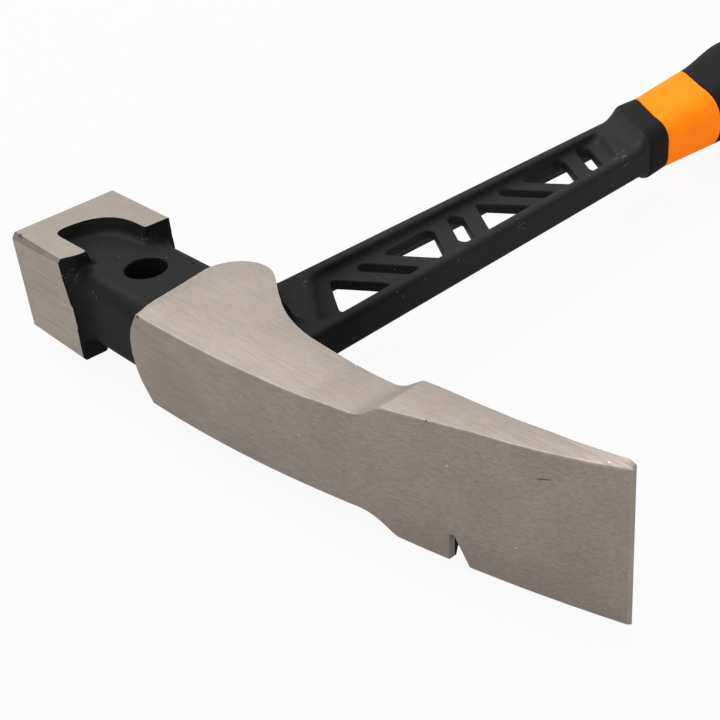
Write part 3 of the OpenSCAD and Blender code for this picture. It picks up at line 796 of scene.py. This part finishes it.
def grip_ring(y, d=0.0):
    """Section of the grip at y, grown by d."""
    steps = 9
    a, b, r = [v + d for v in grip_size(y)]
    r = max(r, 0.6)
    corners = ((1, 1), (-1, 1), (-1, -1), (1, -1))
    pts = []
    for k, (sx, sz) in enumerate(corners):
        for i in range(steps + 1):
            t = math.radians(90 * k + 90 * i / steps)
            pts.append((sx * (a - r) + r * math.cos(t), sz * (b - r) + r * math.sin(t)))
        last = pts[-1]
        nx, nz = corners[(k + 1) % 4]
        turn = math.radians(90 * k + 90)
        goal = (nx * (a - r) + r * math.cos(turn), nz * (b - r) + r * math.sin(turn))
        for f in (0.2, 0.4, 0.6, 0.8):
            pts.append((last[0] + (goal[0] - last[0]) * f, last[1] + (goal[1] - last[1]) * f))
    tilt = float(tilt_at(y))
    return [(u - GRIP_X, y - tilt * float(leaning(np.float64(u))), v) for u, v in pts]


def sleeve(name, y0, y1, lip0, lip1, material, body, reach=1.0):
    """Piece of the grip from y0 to y1 whose ends are rounded by lip0 and lip1.

    The first lip runs on for reach times its depth."""
    steps = 4
    shares = [i / steps for i in range(steps + 1)]
    turns = [math.radians(90 * i / steps) for i in range(steps + 1)]
    first = [(y0 + reach * lip0 * u, -lip0 * (1 - u) ** 2) for u in shares]
    last = [(y1 - lip1 * (1 - math.sin(t)), -lip1 * (1 - math.cos(t))) for t in turns]
    inner = [(y, d) for y, d in body if first[-1][0] < y < last[0][0]]
    return mesh_object(name, loft([grip_ring(y, d) for y, d in [*first, *inner, *last]]), (material,))


def grooves():
    """The sleeve's surface along its length: nine shallow soft grooves across the palm."""
    count, depth, before, after, step = 9, 0.9, 26, 22, 0.55
    pitch = (CAP_FROM - BAND_END - before - after) / count
    out = []
    for y in np.arange(182, 267, step):
        t = (y - BAND_END - before) / pitch
        share = t % 1 if 0 <= t < count else 0.9
        out.append((y, -depth * float(ramp(share, 0.0, 0.17) * (1 - ramp(share, 0.37, 0.54)))))
    return out


def cap_field(x, y, z):
    """Butt cap with its crowned end and the hanging hole."""
    s = y + tilt_at(y) * leaning(x + GRIP_X)
    body = rounded(x + GRIP_X, z, *grip_size(np.minimum(s, BUTT)))
    crown = np.interp(s, [CAP_FROM, 284.5, 286.5, 288, 289.2, BUTT], [0, 0, 0.5, 1.4, 2.9, 5.6])
    body = np.maximum(body + crown, s - BUTT)
    body = smax(body, CAP_FROM + 0.1 - s, 0.9)
    return smax(body, HANG_R - np.hypot(x + GRIP_X, y - HANG_Y), 1.4)


def grip():
    """The four pieces of the grip, from the bolster to the butt."""
    rings = [(y, 0) for y in np.linspace(152, 160, 6)]
    collar = sleeve("collar", GRIP + 0.05, COLLAR_END, 0.42, 0.2, soft, rings, 4)
    rings = [(y, 0) for y in np.linspace(160, 180.7, 14)]
    band = sleeve("band", BAND_FROM, BAND_END, 0.2, 0.2, orange, rings)
    cover = sleeve("sleeve", SLEEVE_FROM, SLEEVE_END, 0.5, 0.3, soft, grooves())
    cell = 0.8
    axes = (np.arange(-20.3, 19.4, cell), np.arange(265.6, 292, cell), np.arange(-13.2, 13.3, cell))
    verts, quads = surface(cap_field, axes, cell)
    cap = mesh_object("cap", (verts.tolist(), [], quads.tolist()), (orange,))
    return collar, band, cover, cap


def finish_piece(o, nodes):
    """Moves a piece to the shared frame, smooths it and hides the solids that it stands for."""
    o.data.transform(Matrix.Scale(MM, 4) @ Matrix.Translation(ORIGIN))
    for p in o.data.polygons:
        p.use_smooth = True
    o.data.set_sharp_from_angle(angle=math.radians(30))
    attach(o, "root")
    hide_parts(*nodes)


poll, blade = head()
collar, band, cover, cap = grip()
for piece, nodes, slot_name in (
        (poll, ["forged_body"], "forging"), (blade, ["forged_body"], "forging"),
        (collar, ["front_collar"], "soft_black"), (band, ["grip_core"], "orange_plastic"),
        (cover, ["grip_sleeve"], "soft_black"), (cap, ["butt_cap"], "orange_plastic")):
    finish_piece(piece, nodes)

# Floor, light and camera


def floor_white():
    """White to the camera, pale to the object and to its shadow, between the two to glossy rays."""
    mat = bpy.data.materials.new("floor_white")
    mat.use_nodes = True
    n = Tree(mat.node_tree)
    n.tree.nodes.clear()
    path = n.add("ShaderNodeLightPath").outputs
    pale = n.add("ShaderNodeBsdfDiffuse")
    n.feed(pale.inputs["Color"], (0.74, 0.74, 0.74, 1))
    white = n.add("ShaderNodeEmission")
    n.feed(white.inputs["Strength"], n.span(path["Is Camera Ray"], 0, 1, 0.3, 1, "LINEAR"))
    glossy = n.math("MULTIPLY", path["Is Glossy Ray"], 0.6)
    mix = n.add("ShaderNodeMixShader")
    n.feed(mix.inputs[0], n.math("MULTIPLY_ADD", path["Is Camera Ray"], 0.93, glossy))
    n.feed(mix.inputs[1], pale.outputs[0])
    n.feed(mix.inputs[2], white.outputs[0])
    n.feed(n.add("ShaderNodeOutputMaterial").inputs[0], mix.outputs[0])
    return mat


def stage_floor():
    bm = bmesh.new()
    bmesh.ops.create_grid(bm, x_segments=1, y_segments=1, size=6)
    floor = mesh_object("floor", bm, (floor_white(),))
    # just under the lowest faces, so that floor and hammer never share a plane
    floor.location.z = -0.0004


def sky():
    """Even light, a little dimmer towards the horizon, on the right most of all."""
    w = bpy.data.worlds.new("sky")
    bpy.context.scene.world = w
    w.use_nodes = True
    n = Tree(w.node_tree)
    n.tree.nodes.clear()
    aim = n.add("ShaderNodeVectorMath", operation="DOT_PRODUCT")
    n.feed(aim.inputs[0], n.add("ShaderNodeTexCoord").outputs["Generated"])
    n.feed(aim.inputs[1], (-0.25, -0.1, 0.75))
    dim = n.span(aim.outputs["Value"], -0.3, 0.8, 0.16, 0.77, "LINEAR")
    path = n.add("ShaderNodeLightPath").outputs
    seen = n.math("MAXIMUM", path["Is Camera Ray"], path["Is Transmission Ray"])
    back = n.add("ShaderNodeBackground")
    n.feed(back.inputs["Color"], (1, 1, 1, 1))
    n.feed(back.inputs["Strength"], n.span(seen, 0, 1, dim, 1, "LINEAR"))
    n.feed(n.add("ShaderNodeOutputWorld").inputs[0], back.outputs[0])


def lamp(name, place, target, size, watts):
    d = bpy.data.lights.new(name, "AREA")
    d.shape = "DISK"
    d.size = size
    d.energy = watts
    o = bpy.data.objects.new(name, d)
    o.location = place
    o.rotation_mode = "QUATERNION"
    o.rotation_quaternion = (Vector(target) - Vector(place)).to_track_quat("-Z", "Y")
    bpy.context.scene.collection.objects.link(o)


def camera(place, azimuth, elevation, roll, lens):
    """Camera at a place, looking down along the given angles in degrees."""
    az, el, roll = (math.radians(a) for a in (azimuth, elevation, roll))
    ahead = Vector((-math.sin(az) * math.cos(el), math.cos(az) * math.cos(el), -math.sin(el)))
    right = ahead.cross(Vector((0, 0, 1))).normalized()
    down = ahead.cross(right)
    c, s = math.cos(roll), math.sin(roll)
    right, down = c * right - s * down, s * right + c * down
    data = bpy.data.cameras.new("camera")
    data.sensor_width = 36
    data.lens = lens
    data.clip_start = 0.01
    cam = bpy.data.objects.new("camera", data)
    turn = Matrix((right, -down, -ahead)).transposed()
    cam.matrix_world = Matrix.Translation(place) @ turn.to_4x4()
    bpy.context.scene.collection.objects.link(cam)
    bpy.context.scene.camera = cam


stage_floor()
sky()
lamp("top", place=(-0.9, -0.1, 1.7), target=(0, 0, 0), size=1.6, watts=14)
camera(place=(0.19077, -0.2659, 0.17295), azimuth=50.7782, elevation=32.8993, roll=-5.9774, lens=66.75)
bpy.context.scene.view_settings.view_transform = "Standard"
